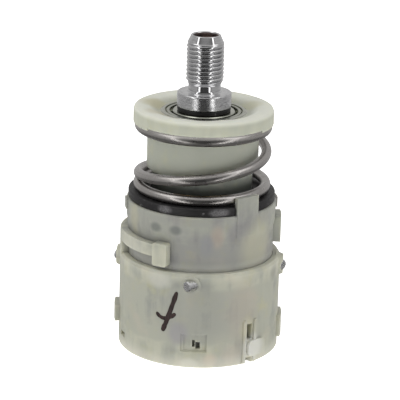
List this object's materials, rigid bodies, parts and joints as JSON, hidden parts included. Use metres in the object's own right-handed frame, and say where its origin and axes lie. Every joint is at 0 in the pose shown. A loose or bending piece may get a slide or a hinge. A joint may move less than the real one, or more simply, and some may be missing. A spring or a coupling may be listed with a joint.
{
  "type": "drill gearbox",
  "caption": "Planetary gearbox of a cordless drill driver: threaded spindle, sprung torque clutch and nylon gear case.",
  "frame": {"origin": "centre of the motor pilot bore, on the flat motor face", "axes": "+Z along the spindle axis towards the chuck thread, -Y towards the front snap window, +X to its right"},
  "size_m": [0.0446, 0.0449, 0.0817],
  "materials": {
    "nylon_nose": "translucent natural nylon, smooth mould finish",
    "nylon_upper": "translucent natural nylon, smooth mould finish",
    "nylon_lower": "translucent natural nylon, smooth mould finish",
    "spring_steel": "drawn wire, lightly oiled",
    "black_steel": "black oxide on steel",
    "turned_steel": "bright turned steel",
    "bearing_steel": "ground and polished",
    "sheet_steel": "pressed sheet steel",
    "pin_steel": "ground pins",
    "gear_steel": "sintered and oiled steel",
    "sintered_bronze": "oil-soaked sintered bronze"
  },
  "bodies": {
    "housing": {"motor_plate": "sheet_steel", "gear_case_lower": "nylon_lower", "gear_case_upper": "nylon_upper", "retaining_pins": "pin_steel", "nose_sleeve": "nylon_nose", "clutch_spring": "spring_steel", "bearing_outer_race": "bearing_steel", "bearing_shield_upper": "sheet_steel", "bearing_shield_lower": "sheet_steel", "spindle_bush": "sintered_bronze", "ring_gear_1": "gear_steel", "thrust_washer_1": "sheet_steel", "clutch_ring_gear": "gear_steel", "lock_ring": "gear_steel"},
    "spindle": {"spindle": "turned_steel", "spindle_spacer": "black_steel", "shaft_circlip": "sheet_steel", "bearing_inner_race": "bearing_steel", "output_carrier": "gear_steel", "planet_pins_2": "pin_steel", "lock_cam": "gear_steel", "lock_rollers": "pin_steel"},
    "cage": {"bearing_cage": "sheet_steel", "bearing_balls": "bearing_steel"},
    "carrier_1": {"carrier_1": "gear_steel", "thrust_washer_2": "sheet_steel", "planet_pins_1": "pin_steel"},
    "clutch": {"clutch_ring": "black_steel", "clutch_pins": "pin_steel"},
    "planet_1a": {"planet_1a": "gear_steel"},
    "planet_1b": {"planet_1b": "gear_steel"},
    "planet_1c": {"planet_1c": "gear_steel"},
    "planet_2a": {"planet_2a": "gear_steel"},
    "planet_2b": {"planet_2b": "gear_steel"},
    "planet_2c": {"planet_2c": "gear_steel"}
  },
  "joints": [
    {"name": "spindle_spin", "type": "hinge", "parent": "housing", "child": "spindle", "pos_m": [0, 0, 0], "axis": [0, 0, 1], "continuous": true},
    {"name": "cage_spin", "type": "hinge", "parent": "housing", "child": "cage", "pos_m": [0, 0, 0], "axis": [0, 0, 1], "continuous": true},
    {"name": "carrier_1_spin", "type": "hinge", "parent": "housing", "child": "carrier_1", "pos_m": [0, 0, 0], "axis": [0, 0, 1], "continuous": true},
    {"name": "planet_1a_spin", "type": "hinge", "parent": "carrier_1", "child": "planet_1a", "pos_m": [0.00975, 0, 0.007], "axis": [0, 0, 1], "continuous": true},
    {"name": "planet_1b_spin", "type": "hinge", "parent": "carrier_1", "child": "planet_1b", "pos_m": [-0.00487, 0.00844, 0.007], "axis": [0, 0, 1], "continuous": true},
    {"name": "planet_1c_spin", "type": "hinge", "parent": "carrier_1", "child": "planet_1c", "pos_m": [-0.00487, -0.00844, 0.007], "axis": [0, 0, 1], "continuous": true},
    {"name": "planet_2a_spin", "type": "hinge", "parent": "spindle", "child": "planet_2a", "pos_m": [0.00975, 0, 0.0183], "axis": [0, 0, 1], "continuous": true},
    {"name": "planet_2b_spin", "type": "hinge", "parent": "spindle", "child": "planet_2b", "pos_m": [-0.00487, 0.00844, 0.0183], "axis": [0, 0, 1], "continuous": true},
    {"name": "planet_2c_spin", "type": "hinge", "parent": "spindle", "child": "planet_2c", "pos_m": [-0.00487, -0.00844, 0.0183], "axis": [0, 0, 1], "continuous": true},
    {"name": "clutch_slide", "type": "slide", "parent": "housing", "child": "clutch", "axis": [0, 0, 1], "range_m": [0, 0.0012], "stiffness_N_per_m": 8100, "deforming": ["clutch_spring"]}
  ],
  "couplings": [
    {"joint": "cage_spin", "follows": "spindle_spin", "ratio": 0.4215},
    {"joint": "carrier_1_spin", "follows": "spindle_spin", "ratio": 5},
    {"joint": "planet_1a_spin", "follows": "spindle_spin", "ratio": -13.333},
    {"joint": "planet_1b_spin", "follows": "spindle_spin", "ratio": -13.333},
    {"joint": "planet_1c_spin", "follows": "spindle_spin", "ratio": -13.333},
    {"joint": "planet_2a_spin", "follows": "spindle_spin", "ratio": -2.6667},
    {"joint": "planet_2b_spin", "follows": "spindle_spin", "ratio": -2.6667},
    {"joint": "planet_2c_spin", "follows": "spindle_spin", "ratio": -2.6667}
  ]
}
